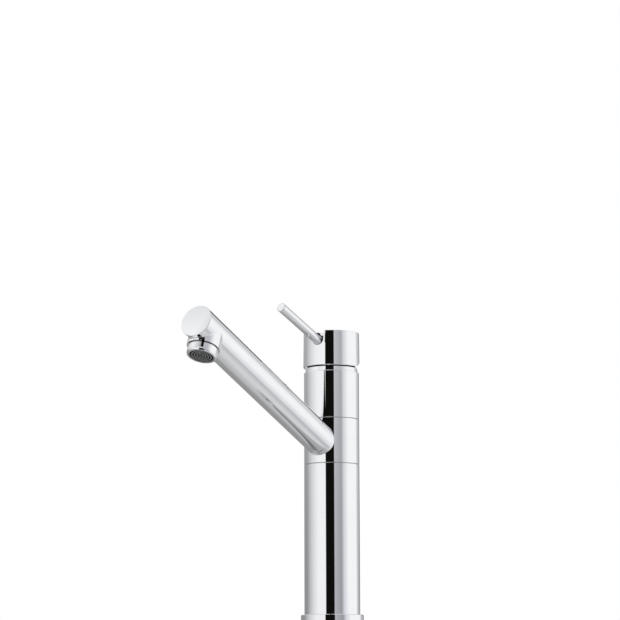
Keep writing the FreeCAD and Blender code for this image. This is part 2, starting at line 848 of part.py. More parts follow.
# Upper body: screwed on the valve body, it holds the cartridge and its nut
def make_upper_body():
    shell = turned("upper_body", [
        (barrel_radius + s.thread_fit, body_foot),
        (s.column_radius - s.seam_edge, body_foot),
        (s.column_radius, body_foot + s.seam_edge),
        (s.column_radius, body_top),
        (neck_foot_radius, body_top + s.body_edge_high),
        (neck_top_radius, neck_top),
        (nut_room_radius, neck_top),
        (nut_room_radius, shoulder),
        (chamber_radius, shoulder),
        (chamber_radius, valve_top),
        (barrel_radius + s.thread_fit, valve_top),
    ])
    keep(shell, "upper_body")


# Cover ring: a domed collar that closes the room between the neck and the cap.
# Its dome is centred on the lever's pivot, so the cap tips round it freely.
def make_cover():
    foot_radius = neck_top_radius - s.cover_inset
    mouth = neck_top_radius - s.cover_mouth_inset
    spigot = nut_room_radius - s.slide_fit
    spigot_bore = spigot - s.cover_spigot_wall
    blank = turned("cover_ring_blank", [
        (spigot_bore, nut_top),
        (spigot, nut_top),
        (spigot, neck_top),
        (foot_radius, neck_top),
        (foot_radius, neck_top + s.cover_high),
        (mouth, neck_top + s.cover_high),
        (mouth, neck_top + s.cover_spigot_wall),
        (spigot_bore, neck_top),
    ])
    dome = doc.addObject("Part::Sphere", "cover_ring_dome")
    rise = neck_top - pivot_height
    bind(dome, "Radius", root(foot_radius * foot_radius + rise * rise))
    place(dome, z=pivot_height)
    keep(common("cover_ring_trimmed", blank, dome), "cover_ring")


# Ports through the cartridge: name, place across and back, and radius
PORTS = (
    ("cold", s.port_spread, -s.inlet_front, s.port_radius),
    ("hot", -s.port_spread, -s.inlet_front, s.port_radius),
    ("mixed", ZERO, s.outlet_back, s.outlet_port_radius),
)


# Cartridge: base with its port seals, housing and retaining nut
def make_cartridge_shell():
    base = rod("cartridge_base_disc", cartridge_radius, s.cartridge_base_thick)
    place(base, z=cartridge_seat)
    tools = []
    seals = []
    for name, x, y, radius in PORTS:
        seal_bore = radius + s.slide_fit
        seal_outer = seal_bore + s.port_seal_wide
        hole = rod(f"base_port_{name}", radius, s.cartridge_base_thick + s.free_gap * 2)
        tools.append(place(hole, x, y, cartridge_seat - s.free_gap))
        levels = (("under", cartridge_seat), ("over", fixed_disc_seat - s.port_seal_thick))
        for where, level in levels:
            room_low = level - s.free_gap if where == "under" else level
            room = rod(f"seal_room_{name}_{where}", seal_outer + s.slide_fit, s.port_seal_thick + s.free_gap)
            tools.append(place(room, x, y, room_low))
            outer = place(rod(f"port_seal_{name}_{where}", seal_outer, s.port_seal_thick), x, y, level)
            inner = rod(f"port_seal_hole_{name}_{where}", seal_bore, s.port_seal_thick + s.free_gap * 2)
            place(inner, x, y, level - s.free_gap)
            seals.append(less(f"port_seal_{name}_{where}", outer, inner))
    keep(less("cartridge_base", base, *tools), "cartridge_base")
    keep(group("port_seals", *seals), "port_seals")
    lip_foot = body_top - s.housing_lip_thick
    housing = turned("cartridge_housing", [
        (housing_bore, fixed_disc_seat),
        (cartridge_radius, fixed_disc_seat),
        (cartridge_radius, shoulder),
        (housing_top_radius, shoulder),
        (housing_top_radius, body_top),
        (housing_lip_bore, body_top),
        (housing_lip_bore, lip_foot),
        (housing_bore, lip_foot),
    ])
    keep(housing, "cartridge_housing")
    nut_bore = housing_top_radius + s.slide_fit
    nut_radius = nut_room_radius - s.thread_fit
    nut = turned("cartridge_nut_ring", [
        (nut_bore, shoulder),
        (nut_radius, shoulder),
        (nut_radius, nut_top),
        (nut_bore, nut_top),
    ])
    notch_foot = nut_top - s.nut_notch / 2
    notch_long = nut_radius * 3
    across = block("nut_notch_across", notch_long, s.nut_notch, s.nut_notch)
    place(across, -notch_long / 2, -s.nut_notch / 2, notch_foot)
    along = block("nut_notch_along", s.nut_notch, notch_long, s.nut_notch)
    place(along, -s.nut_notch / 2, -notch_long / 2, notch_foot)
    keep(less("cartridge_nut", nut, across, along), "cartridge_nut")


# Ceramic discs and the slider that moves the upper one
def make_discs():
    fixed = place(rod("fixed_disc_blank", fixed_disc_radius, s.disc_thick), z=fixed_disc_seat)
    tools = []
    for name, x, y, radius in PORTS:
        hole = rod(f"fixed_disc_port_{name}", radius, s.disc_thick + s.free_gap * 2)
        tools.append(place(hole, x, y, fixed_disc_seat - s.free_gap))
    keep(less("fixed_disc", fixed, *tools), "fixed_disc")
    moving = rod("moving_disc_blank", moving_disc_radius, s.disc_thick)
    place(moving, y=s.moving_disc_back, z=moving_disc_seat)
    pocket = rod("moving_disc_pocket", s.disc_pocket_radius, s.disc_pocket_deep + s.free_gap)
    place(pocket, y=s.moving_disc_back + s.disc_pocket_back, z=moving_disc_seat - s.free_gap)
    keep(less("moving_disc", moving, pocket), "moving_disc")
    flange = rod("disc_slider_flange", moving_disc_radius, s.slider_flange)
    place(flange, y=s.moving_disc_back, z=slider_seat)
    body = block("disc_slider_block", s.slider_wide, s.slider_deep, s.slider_block)
    place(body, -s.slider_wide / 2, -s.slider_deep / 2, slider_seat + s.slider_flange)
    socket = rod("disc_slider_socket", s.stem_ball + s.free_gap * 2, s.lift_arm)
    place(socket, z=ball_height - s.stem_ball - s.free_gap)
    keep(less("disc_slider", joined("disc_slider", flange, body), socket), "disc_slider")


# Rotor that turns with the handle, and the pin that the stem rocks on
def make_rotor():
    rotor_foot = slider_seat + s.slider_flange + s.free_gap
    lip_foot = body_top - s.housing_lip_thick
    rotor_top = body_top + s.rotor_lip_over
    drum = turned("rotor_drum", [
        (ZERO, rotor_foot),
        (rotor_radius, rotor_foot),
        (rotor_radius, lip_foot - s.free_gap / 3),
        (housing_lip_bore - s.free_gap, lip_foot - s.free_gap / 3),
        (housing_lip_bore - s.free_gap, rotor_top),
        (ZERO, rotor_top),
    ])
    stem_room = s.stem_square + s.free_gap * 2
    slot = block("rotor_stem_slot", stem_room, s.stem_slot_long, rotor_top - rotor_foot + s.free_gap * 2)
    place(slot, -stem_room / 2, -s.stem_slot_long / 2, rotor_foot - s.free_gap)
    slider_room = s.slider_wide + s.free_gap * 2
    skirt = slider_top + s.free_gap - rotor_foot
    channel = block("rotor_slider_channel", slider_room, rotor_radius * 2.5, skirt + s.free_gap)
    place(channel, -slider_room / 2, -rotor_radius * 1.25, rotor_foot - s.free_gap)
    pin_half = rotor_radius - s.pivot_pin_end
    hole = rod("rotor_pin_hole", s.pivot_pin_radius + s.thread_fit, rotor_radius * 2.5)
    lean(hole, 90, x=-rotor_radius * 1.25, z=pivot_height, about=FreeCAD.Vector(0, 1, 0))
    keep(less("cartridge_rotor", drum, slot, channel, hole), "cartridge_rotor")
    pin = rod("pivot_pin", s.pivot_pin_radius, pin_half * 2)
    lean(pin, 90, x=-pin_half, z=pivot_height, about=FreeCAD.Vector(0, 1, 0))
    keep(pin, "pivot_pin")


# Stem: square above, with a pivot hole and a ball end that moves the slider
def make_stem():
    ball_top = ball_height + s.stem_ball + s.free_gap * 3
    stem_top = lever_height + s.stem_square / 2
    square = block("stem_square_bar", s.stem_square, s.stem_square, stem_top - ball_top)
    place(square, -s.stem_square / 2, -s.stem_square / 2, ball_top)
    neck = place(rod("stem_neck_bar", s.stem_neck, ball_top - ball_height), z=ball_height)
    ball = doc.addObject("Part::Sphere", "stem_ball_end")
    bind(ball, "Radius", s.stem_ball)
    place(ball, z=ball_height)
    hole = rod("stem_pin_hole", s.pivot_pin_radius + s.running_fit, s.stem_square * 2)
    lean(hole, 90, x=-s.stem_square, z=pivot_height, about=FreeCAD.Vector(0, 1, 0))
    keep(less("stem", joined("stem", square, neck, ball), hole), "stem")


def lever_piece(piece):
    """Puts a piece that is turned about the lever's axis in its place."""
    return lean(piece, as_size(90) - s.lever_angle, z=lever_height)


def notch_tool(name):
    """The U along the lever that lets it out through the cap's wall and roof."""
    half = s.notch_width / 2
    rise = half - s.lever_radius - s.notch_floor_gap
    start = hub_front / cosine(s.lever_angle)
    long = s.notch_deep * 2
    floor = place(rod(f"{name}_round", half, long), y=rise, z=start)
    above = block(f"{name}_slot", s.notch_width, cap_radius, long)
    place(above, -half, rise, start)
    return lever_piece(joined(name, floor, above))


# Cap shell: drafted, with a rounded top, a bevelled foot relieved at the back,
# and a notch at the front for the lever
def make_cap():
    body = turned("cap_shell", [
        (cap_cavity, cap_foot),
        (cap_radius, cap_foot),
        (cap_radius - s.cap_draft, cap_top),
        (ZERO, cap_top),
        (ZERO, cap_ceiling),
        (cap_cavity, cap_ceiling),
    ])
    round_edge(body, "cap_rim_round", cap_radius - s.cap_draft, cap_top, s.cap_round)
    level_cone = flared("cap_level_cone")
    place(level_cone, z=cap_foot)
    relief_cone = flared("cap_relief_cone")
    lean(relief_cone, s.relief_angle, z=cap_foot)
    levelled = common("cap_levelled", body, level_cone)
    relieved = common("cap_relieved", levelled, relief_cone)
    keep(less("cap", relieved, notch_tool("cap_notch")), "cap")


def flared(name):
    """A wide cone whose foot trims and bevels the cap's lower edge."""
    foot = cap_radius - s.cap_bevel
    height = cap_radius * 2
    cone = doc.addObject("Part::Cone", name)
    bind(cone, "Radius1", foot)
    bind(cone, "Radius2", foot + height)
    bind(cone, "Height", height)
    return cone


# Hub: it joins the cap to the stem and takes the lever's thread
def make_hub():
    plate = rod("hub_plate_disc", cap_cavity - s.thread_fit, s.hub_plate)
    place(plate, z=cap_ceiling - s.hub_plate)
    core_foot = lever_height - s.hub_core_drop
    core = block("hub_core", s.hub_wide, hub_front + s.hub_back, cap_ceiling - core_foot)
    place(core, -s.hub_wide / 2, -hub_front, core_foot)
    stem_room = s.stem_square + s.slide_fit
    socket_wide = stem_room + s.hub_socket_wall * 2
    socket_foot = lever_height - s.hub_socket_drop
    sleeve = block("hub_stem_sleeve", socket_wide, socket_wide, cap_ceiling - socket_foot)
    place(sleeve, -socket_wide / 2, -socket_wide / 2, socket_foot)
    socket_top = lever_height + s.stem_square / 2 + s.free_gap
    socket = block("hub_stem_socket", stem_room, stem_room, socket_top - socket_foot + s.free_gap)
    place(socket, -stem_room / 2, -stem_room / 2, socket_foot - s.free_gap)
    seat = place(rod("hub_lever_seat", s.lever_radius + s.thread_fit, s.lever_reach), z=lever_root)
    thread = rod("hub_lever_thread", s.shank_radius + s.thread_fit, lever_root + s.free_gap)
    lever_holes = lever_piece(joined("hub_lever_holes", seat, thread))
    blank = joined("handle_hub", plate, core, sleeve)
    keep(less("handle_hub", blank, notch_tool("hub_notch"), socket, lever_holes), "handle_hub")


# Lever rod with a threaded shank, and the grub screw behind it
def make_lever():
    shank_end = lever_root - s.shank_long
    lever = turned("lever_rod", [
        (ZERO, shank_end),
        (s.shank_radius, shank_end),
        (s.shank_radius, lever_root),
        (s.lever_radius, lever_root),
        (s.lever_radius, s.lever_reach - s.lever_edge),
        (s.lever_radius - s.lever_edge, s.lever_reach),
        (ZERO, s.lever_reach),
    ])
    keep(lever_piece(lever), "lever_rod")
    stem_face = s.stem_square / 2 / cosine(s.lever_angle)
    tip = stem_face + s.shank_radius * tangent(s.lever_angle)
    screw = turned("grub_screw", [
        (ZERO, tip),
        (s.shank_radius, tip),
        (s.shank_radius, shank_end - s.free_gap),
        (ZERO, shank_end - s.free_gap),
    ])
    keep(lever_piece(screw), "grub_screw")


def check(doc):
    """Stops before anything is written if an object failed or a piece is unsound."""
    for thing in doc.Objects:
        if "Invalid" in thing.State or "Error" in thing.State:
            raise RuntimeError(f"{thing.Name} did not build: {thing.State}")
    for piece in sub_parts:
        shape = piece.Shape
        if shape.isNull() or not shape.isValid() or not shape.Solids:
            raise RuntimeError(f"{piece.Label} is not a sound solid")
        if min(solid.Volume for solid in shape.Solids) <= 0:
            raise RuntimeError(f"{piece.Label} has no volume")


def write_parts():
    os.makedirs("parts", exist_ok=True)
    for piece in sub_parts:
        piece.Shape.exportStep(f"parts/{piece.Label}.step")
        print(piece.Label, len(piece.Shape.Solids), round(piece.Shape.Volume, 1))


make_base()
make_column()
make_anchor()
make_fixing()
make_valve_body()
make_swivel_seals()
make_collar()
make_spout_tube()
make_spout_end()
make_aerator()
make_upper_body()
make_cover()
make_cartridge_shell()
make_discs()
make_rotor()
make_stem()
make_cap()
make_hub()
make_lever()
doc.recompute()
check(doc)
write_parts()
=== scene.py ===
import math

import bpy
from mathutils import Matrix, Vector


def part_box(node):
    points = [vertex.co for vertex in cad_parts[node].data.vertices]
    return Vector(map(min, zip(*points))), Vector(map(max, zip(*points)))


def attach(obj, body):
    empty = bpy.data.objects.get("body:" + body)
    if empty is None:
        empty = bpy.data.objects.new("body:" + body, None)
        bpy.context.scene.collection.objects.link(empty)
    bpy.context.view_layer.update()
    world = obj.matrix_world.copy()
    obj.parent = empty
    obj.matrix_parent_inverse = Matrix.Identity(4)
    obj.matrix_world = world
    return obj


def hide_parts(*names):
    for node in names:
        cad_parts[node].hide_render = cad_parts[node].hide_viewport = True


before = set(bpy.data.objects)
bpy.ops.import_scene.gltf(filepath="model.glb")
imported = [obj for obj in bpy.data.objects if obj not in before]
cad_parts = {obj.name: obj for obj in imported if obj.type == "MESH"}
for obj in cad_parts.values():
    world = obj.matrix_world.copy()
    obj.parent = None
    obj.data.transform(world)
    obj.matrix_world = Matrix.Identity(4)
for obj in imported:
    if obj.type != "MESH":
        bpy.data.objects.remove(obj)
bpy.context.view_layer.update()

MM = 0.001

# Camera: a long lens two metres away, a little under the tap and 30 degrees to the spout's side
CAMERA_TURN = 29.9
CAMERA_DISTANCE = 2.0873
CAMERA_SIDE = -0.0190
CAMERA_HEIGHT = -0.0633
CAMERA_PITCH = 9.33
CAMERA_ROLL = -0.135
LENS_MM = 136.76
SENSOR_MM = 36.0

# Studio: a pale round floor under the stud's end, one soft lamp, plain light all round for
# what is matt, and walls that only the metal mirrors
FLOOR_RADIUS = 1.6
FLOOR_SIDES = 96
FLOOR_DROP = 0.084
LAMP_HEIGHT = 1.2
LAMP_SIDE = 0.6
LAMP_SIZE = 0.9
LAMP_WATTS = 9.0
ROOM_LIGHT = 0.8
STUDIO_LIGHT = 1.1

# The spout's rise, in degrees, which the outlet and its screen follow, and how far down
# the outlet's axis from the origin, in millimetres, the aerator ring's shoulder and the
# screen's face lie
SPOUT_ANGLE = 21.2
SHOULDER_DEPTH = -125.6
SCREEN_DEPTH = -118.8
# How far above its shoulder the ring's plating starts to fade and ends, where the thread painted dark as
# the joint's shade takes over
PLATING_FADE = 0.05
PLATING_END = 0.1

# Aerator screen: rings of small cells over a woven net, in millimetres
RING_WIDTH = 0.9
RING_PITCH = 2.2
RING_COUNT = 4
GROOVE_DEEP = 1.2
CELL_PITCH = 1.9
CELL_WALL = 0.5
CELL_DEEP = 0.6
CELL_INSET = 0.5
CELL_BITE = 0.3
CENTRE_RIB_RADIUS = 1.6
CENTRE_RIB_STEPS = 32
CENTRE_RIB_SIDES = 12
NET_PITCH = 0.75
NET_WIRE = 0.11
NET_WIRE_SIDES = 6
# How far behind the screen's face the pale lime from the water is still at its full; further in, the
# nylon is painted darker to black as shade in the grooves
LIME_FULL = 0.1

# Thread of the fixing stud, in millimetres. A flat of more than 1 cuts its crests level.
THREAD_PITCH = 1.25
THREAD_DEEP = 0.72
THREAD_RUNOUT = 1.2
THREAD_FLAT = 1.2
THREAD_STEPS = 8
THREAD_SIDES = 28

# A Mix node's sockets for colours, whose names aren't theirs alone
MIX_FROM = 6
MIX_TO = 7
MIX_COLOUR = 2
# How far a wave pattern runs in a metre at a scale of one, in radians
WAVE_RUN = 20

# The studio round the tap, which only the metal sees: degrees to the right of the
# camera's side, and how light the wall, the ceiling or the floor is there. The stops
# were placed by how the long bands on the photo's chrome lie.
WALL = (
    (-180, "909090"), (-125, "909090"), (-90, "D0D0D0"), (-60, "F0F0F0"), (-30, "F0F0F0"),
    (12, "B0B0B4"), (40, "98989C"), (50, "D0D0D4"), (72, "F4F4F4"), (118, "F4F4F4"),
    (138, "B0B0B4"), (180, "A4A4A8"),
)
CEILING = (
    (-180, "B8B8B8"), (-90, "F4F4F4"), (-72, "F8F8F8"), (-62, "E0E0E0"), (-30, "F4F4F4"),
    (20, "C0C0C4"), (45, "B8B8BC"), (80, "F4F4F4"), (122, "F4F4F4"), (133, "D0D0D4"),
    (180, "B8B8B8"),
)
FLOOR = (
    (-180, "949494"), (-120, "989898"), (-60, "C8C8C8"), (0, "D8D8D8"), (80, "D4D4D4"),
    (114, "B4B4B8"), (117, "D8D8D8"), (160, "C0C0C4"), (176, "949494"),
)
HAZE = "FCFCFC"
UNDERFOOT = (
    (-180, "B8B8B8"), (-145, "B0B0B0"), (-125, "787878"), (-75, "707070"), (-28, "A8A8A8"),
    (80, "B4B4B4"), (100, "D0D0D0"), (130, "D0D0D0"), (180, "B8B8B8"),
)
# Over which upward parts of a direction the walls pale into haze, the ceiling takes over,
# the floor glows on the walls and takes over at its edge, and the floor turns to its
# colour underfoot, and by how much at most
TO_HAZE = (0.04, 0.15, 0.1)
TO_CEILING = (0.05, 0.5, 1.0)
TO_GLOW = (-0.14, -0.54, 0.5)
TO_FLOOR = (-0.52, -0.60, 1.0)
TO_UNDERFOOT = (-0.64, -0.84, 1.0)
# How much of its light the ceiling keeps towards the zenith, over the same measure
DIMMING = (0.56, 0.82, 0.75)
# Black cards in front of the tap and behind it: the least and greatest sideways and
# upward parts of a direction, and whether it points at the camera's side or away
CARDS = (
    (-0.437, 0.165, -0.80, 0.73, 1.0),
    (0.05, 0.34, -0.22, 0.50, -1.0),
)
CARD_COLOUR = "0E0E0D"
CARD_EDGE = 0.012


def linear(code):
    """The linear colour of an sRGB hex code such as "C8CBCE"."""
    channels = [int(code[i:i + 2], 16) / 255 for i in (0, 2, 4)]
    return [c / 12.92 if c <= 0.04045 else ((c + 0.055) / 1.055) ** 2.4 for c in channels] + [1.0]


def add(tree, kind, settings=None, links=None):
    """Adds a node. Settings with capital or numbered names are inputs, others its own properties."""
    made = tree.nodes.new(kind)
    for name, value in (settings or {}).items():
        if isinstance(name, int) or name[0].isupper():
            made.inputs[name].default_value = value
        else:
            setattr(made, name, value)
    for name, socket in (links or {}).items():
        tree.links.new(socket, made.inputs[name])
    return made


def set_ramp(made, stops):
    """Gives a colour ramp its stops, as (place, colour as hex)."""
    ramp = made.color_ramp
    while len(ramp.elements) < len(stops):
        ramp.elements.new(1.0)
    for element, (place, code) in zip(ramp.elements, sorted(stops)):
        element.position = place
        element.color = linear(code)


def per_metre(size):
    """How many cells of a pattern fit in a metre, for a cell size in millimetres."""
    return 1 / (size * MM)


def round_studio(tree, share, stops):
    """The colour of a ramp that runs once round the studio."""
    ramp = add(tree, "ShaderNodeValToRGB", links={"Fac": share})
    set_ramp(ramp, [((degrees + 180) / 360, code) for degrees, code in stops])
    return ramp.outputs["Color"]


def pass_over(tree, up, span, before, after):
    """Passes from one colour to another while the upward part of a direction runs over a span."""
    start, end, most = span
    share = add(tree, "ShaderNodeMapRange",
                {"interpolation_type": "SMOOTHSTEP", "From Min": start, "From Max": end, "To Max": most},
                {"Value": up})
    return add(tree, "ShaderNodeMix", {"data_type": "RGBA"},
               {"Factor": share.outputs["Result"], MIX_FROM: before, MIX_TO: after}).outputs[MIX_COLOUR]


def lay_card(tree, studio, side, toward, up, card):
    """Lays a black card with a slightly soft edge over the studio's colour."""
    left, right, foot, top, facing = card
    ahead = add(tree, "ShaderNodeMath", {"operation": "MULTIPLY", 1: facing}, {0: toward})
    inside = add(tree, "ShaderNodeMath", {"operation": "GREATER_THAN", 1: 0.0}, {0: ahead.outputs[0]})
    cover = inside.outputs[0]
    for part, edge, sign in ((side, left, 1), (side, right, -1), (up, foot, 1), (up, top, -1)):
        step = add(tree, "ShaderNodeMapRange",
                   {"From Min": edge - sign * CARD_EDGE, "From Max": edge + sign * CARD_EDGE},
                   {"Value": part})
        both = add(tree, "ShaderNodeMath", {"operation": "MULTIPLY"},
                   {0: cover, 1: step.outputs["Result"]})
        cover = both.outputs[0]
    return add(tree, "ShaderNodeMix", {"data_type": "RGBA", MIX_TO: linear(CARD_COLOUR)},
               {"Factor": cover, MIX_FROM: studio}).outputs[MIX_COLOUR]


def paint_studio(tree, side, toward, up):
    """The studio's colour in a direction, given by its parts as seen from the camera's side."""
    angle = add(tree, "ShaderNodeMath", {"operation": "ARCTAN2"}, {0: side, 1: toward})
    turned = add(tree, "ShaderNodeMapRange", {"From Min": -math.pi, "From Max": math.pi},
                 {"Value": angle.outputs[0]})
    share = turned.outputs["Result"]
    haze = add(tree, "ShaderNodeRGB")
    haze.outputs[0].default_value = linear(HAZE)
    walls = pass_over(tree, up, TO_HAZE, round_studio(tree, share, WALL), haze.outputs[0])
    walls = pass_over(tree, up, TO_CEILING, walls, round_studio(tree, share, CEILING))
    floor = round_studio(tree, share, FLOOR)
    walls = pass_over(tree, up, TO_GLOW, walls, floor)
    floor = pass_over(tree, up, TO_UNDERFOOT, floor, round_studio(tree, share, UNDERFOOT))
    studio = pass_over(tree, up, TO_FLOOR, walls, floor)
    for card in CARDS:
        studio = lay_card(tree, studio, side, toward, up, card)
    return studio


def make_world():
    """White for the camera, the painted studio for the metal and plain light for all else."""
    world = bpy.data.worlds.new("studio")
    bpy.context.scene.world = world
    world.use_nodes = True
    tree = world.node_tree
    tree.nodes.clear()
    place = add(tree, "ShaderNodeTexCoord")
    turned = add(tree, "ShaderNodeVectorRotate",
                 {"rotation_type": "Z_AXIS", "Angle": -math.radians(CAMERA_TURN)},
                 {"Vector": place.outputs["Generated"]})
    parts = add(tree, "ShaderNodeSeparateXYZ", links={"Vector": turned.outputs[0]})
    toward = add(tree, "ShaderNodeMath", {"operation": "MULTIPLY", 1: -1.0}, {0: parts.outputs["Y"]})
    studio = paint_studio(tree, parts.outputs["X"], toward.outputs[0], parts.outputs["Z"])
    start, end, kept = DIMMING
    dimming = add(tree, "ShaderNodeMapRange",
                  {"From Min": start, "From Max": end,
                   "To Min": STUDIO_LIGHT, "To Max": STUDIO_LIGHT * kept},
                  {"Value": parts.outputs["Z"]})
    path = add(tree, "ShaderNodeLightPath")
    seen = add(tree, "ShaderNodeMath", {"operation": "MAXIMUM"},
               {0: path.outputs["Is Camera Ray"], 1: path.outputs["Is Transmission Ray"]})
    plain = add(tree, "ShaderNodeBackground", {"Color": linear("FFFFFF"), "Strength": ROOM_LIGHT})
    around = add(tree, "ShaderNodeBackground",
                 links={"Color": studio, "Strength": dimming.outputs["Result"]})
    white = add(tree, "ShaderNodeBackground", {"Color": linear("FFFFFF"), "Strength": 1.0})
    lit = add(tree, "ShaderNodeMixShader",
              links={0: path.outputs["Is Glossy Ray"], 1: plain.outputs[0], 2: around.outputs[0]})
    whole = add(tree, "ShaderNodeMixShader",
                links={0: seen.outputs[0], 1: lit.outputs[0], 2: white.outputs[0]})
    add(tree, "ShaderNodeOutputWorld", links={"Surface": whole.outputs[0]})


def new_material(name):
    """An empty material, its tree and the place on the object that its patterns follow."""
    material = bpy.data.materials.new(name)
    material.use_nodes = True
    tree = material.node_tree
    tree.nodes.clear()
    return material, tree, add(tree, "ShaderNodeTexCoord").outputs["Object"]


def finish_material(tree, settings, links):
    """Ends a material with one surface."""
    skin = add(tree, "ShaderNodeBsdfPrincipled", settings, links)
    add(tree, "ShaderNodeOutputMaterial", links={"Surface": skin.outputs[0]})


def down_outlet(tree, place, start, end):
    """Grows from 0 to 1 while a point moves down the outlet between two depths in millimetres."""
    rise = math.radians(SPOUT_ANGLE)
    depth = add(tree, "ShaderNodeVectorMath",
                {"operation": "DOT_PRODUCT", 1: (0, -math.sin(rise), -math.cos(rise))}, {0: place})
    share = add(tree, "ShaderNodeMapRange", {"From Min": start * MM, "From Max": end * MM},
                {"Value": depth.outputs["Value"]})
    return share.outputs["Result"]


def chrome_skin(tree, place):
    """The chrome's tint and gloss under a thin film of water marks, and its buffed unevenness."""
    film = add(tree, "ShaderNodeTexNoise", {"Scale": per_metre(14), "Detail": 4.0}, {"Vector": place})
    tint = add(tree, "ShaderNodeMix",
               {"data_type": "RGBA", MIX_FROM: linear("F6F7F8"), MIX_TO: linear("F0F1F4")},
               {"Factor": film.outputs["Fac"]})
    gloss = add(tree, "ShaderNodeMapRange", {"To Min": 0.008, "To Max": 0.035},
                {"Value": film.outputs["Fac"]})
    buffing = add(tree, "ShaderNodeTexNoise", {"Scale": per_metre(9), "Detail": 1.0}, {"Vector": place})
    uneven = add(tree, "ShaderNodeBump", {"Strength": 1.0, "Distance": 0.0006 * MM},
                 {"Height": buffing.outputs["Fac"]})
    return tint.outputs[MIX_COLOUR], gloss.outputs["Result"], uneven.outputs["Normal"]


# Bright chrome plate on buffed brass: a clean mirror. Buffing leaves it a hair uneven,
# and the film of water marks makes its gloss vary a little.
def make_chrome():
    material, tree, place = new_material("bright_chrome_plate")
    tint, gloss, uneven = chrome_skin(tree, place)
    finish_material(tree, {"Metallic": 1.0}, {"Base Color": tint, "Roughness": gloss, "Normal": uneven})
    return material


# The aerator ring: bright plate below its shoulder, and above it the thread, left unplated and painted
# brown-black as painted shade for the gap of the joint under the outlet, which draws the joint as a dark
# line
def make_ring_chrome():
    material, tree, place = new_material("chrome_plate_with_shaded_thread")
    tint, gloss, uneven = chrome_skin(tree, place)
    plated_not_shade = down_outlet(tree, place, SHOULDER_DEPTH - PLATING_END, SHOULDER_DEPTH - PLATING_FADE)
    # Painted shade of the joint's gap on the thread: two dark browns mottled by noise
    shade_mottle = add(tree, "ShaderNodeTexNoise", {"Scale": per_metre(1.5), "Detail": 3.0}, {"Vector": place})
    thread_shade = add(tree, "ShaderNodeMix",
               {"data_type": "RGBA", MIX_FROM: linear("1E1B17"), MIX_TO: linear("3A332B")},
               {"Factor": shade_mottle.outputs["Fac"]})
    colour = add(tree, "ShaderNodeMix", {"data_type": "RGBA"},
                 {"Factor": plated_not_shade, MIX_FROM: thread_shade.outputs[MIX_COLOUR], MIX_TO: tint})
    matt = add(tree, "ShaderNodeMapRange", {"To Min": 0.55}, {"Value": plated_not_shade, "To Max": gloss})
    finish_material(tree, {"Metallic": 1.0}, {
        "Base Color": colour.outputs[MIX_COLOUR], "Roughness": matt.outputs["Result"], "Normal": uneven,
    })
    return material


# Turned brass without plating: fine rings from the lathe, and a dull brown film in patches
def make_brass():
    material, tree, place = new_material("turned_brass")
    rings = add(tree, "ShaderNodeTexWave",
                {"bands_direction": "Z", "Scale": per_metre(0.5) / WAVE_RUN, "Distortion": 0.4},
                {"Vector": place})
    film = add(tree, "ShaderNodeTexNoise", {"Scale": per_metre(6), "Detail": 5.0}, {"Vector": place})
    tint = add(tree, "ShaderNodeMix",
               {"data_type": "RGBA", MIX_FROM: linear("D2AE62"), MIX_TO: linear("A67F3E")},
               {"Factor": film.outputs["Fac"]})
    gloss = add(tree, "ShaderNodeMapRange", {"To Min": 0.18, "To Max": 0.38},
                {"Value": film.outputs["Fac"]})
    marks = add(tree, "ShaderNodeBump", {"Strength": 0.35, "Distance": 0.02 * MM},
                {"Height": rings.outputs["Fac"]})
    finish_material(tree, {"Metallic": 1.0}, {
        "Base Color": tint.outputs[MIX_COLOUR], "Roughness": gloss.outputs["Result"],
        "Normal": marks.outputs["Normal"],
    })
    return material


# Bright zinc plate on steel: a cool grey with faint blue and straw patches from the dip
def make_steel():
    material, tree, place = new_material("zinc_plated_steel")
    dip = add(tree, "ShaderNodeTexNoise",
              {"Scale": per_metre(8), "Detail": 3.0, "Distortion": 0.6}, {"Vector": place})
    tint = add(tree, "ShaderNodeValToRGB", links={"Fac": dip.outputs["Fac"]})
    set_ramp(tint, [(0.3, "C6CACF"), (0.5, "BDBFC0"), (0.68, "C9C5B6")])
    crystals = add(tree, "ShaderNodeTexVoronoi", {"Scale": per_metre(0.35)}, {"Vector": place})
    gloss = add(tree, "ShaderNodeMapRange", {"From Max": 0.7, "To Min": 0.26, "To Max": 0.42},
                {"Value": crystals.outputs["Distance"]})
    grain = add(tree, "ShaderNodeBump", {"Strength": 0.3, "Distance": 0.01 * MM},
                {"Height": crystals.outputs["Distance"]})
    finish_material(tree, {"Metallic": 1.0}, {
        "Base Color": tint.outputs["Color"], "Roughness": gloss.outputs["Result"],
        "Normal": grain.outputs["Normal"],
    })
    return material


# Die-cast zinc, black passivated: a dull charcoal skin with flow marks and a fine sandy grain
def make_cast_zinc():
    material, tree, place = new_material("black_passivated_zinc")
    flow = add(tree, "ShaderNodeTexNoise",
               {"Scale": per_metre(5), "Detail": 2.0, "Distortion": 1.5}, {"Vector": place})
    tint = add(tree, "ShaderNodeMix",
               {"data_type": "RGBA", MIX_FROM: linear("3E3F40"), MIX_TO: linear("2E2F30")},
               {"Factor": flow.outputs["Fac"]})
    sand = add(tree, "ShaderNodeTexNoise", {"Scale": per_metre(0.4), "Detail": 2.0}, {"Vector": place})
    gloss = add(tree, "ShaderNodeMapRange", {"To Min": 0.38, "To Max": 0.6},
                {"Value": sand.outputs["Fac"]})
    grain = add(tree, "ShaderNodeBump", {"Strength": 0.5, "Distance": 0.03 * MM},
                {"Height": sand.outputs["Fac"]})
    finish_material(tree, {"Metallic": 0.9}, {
        "Base Color": tint.outputs[MIX_COLOUR], "Roughness": gloss.outputs["Result"],
        "Normal": grain.outputs["Normal"],
    })
    return material


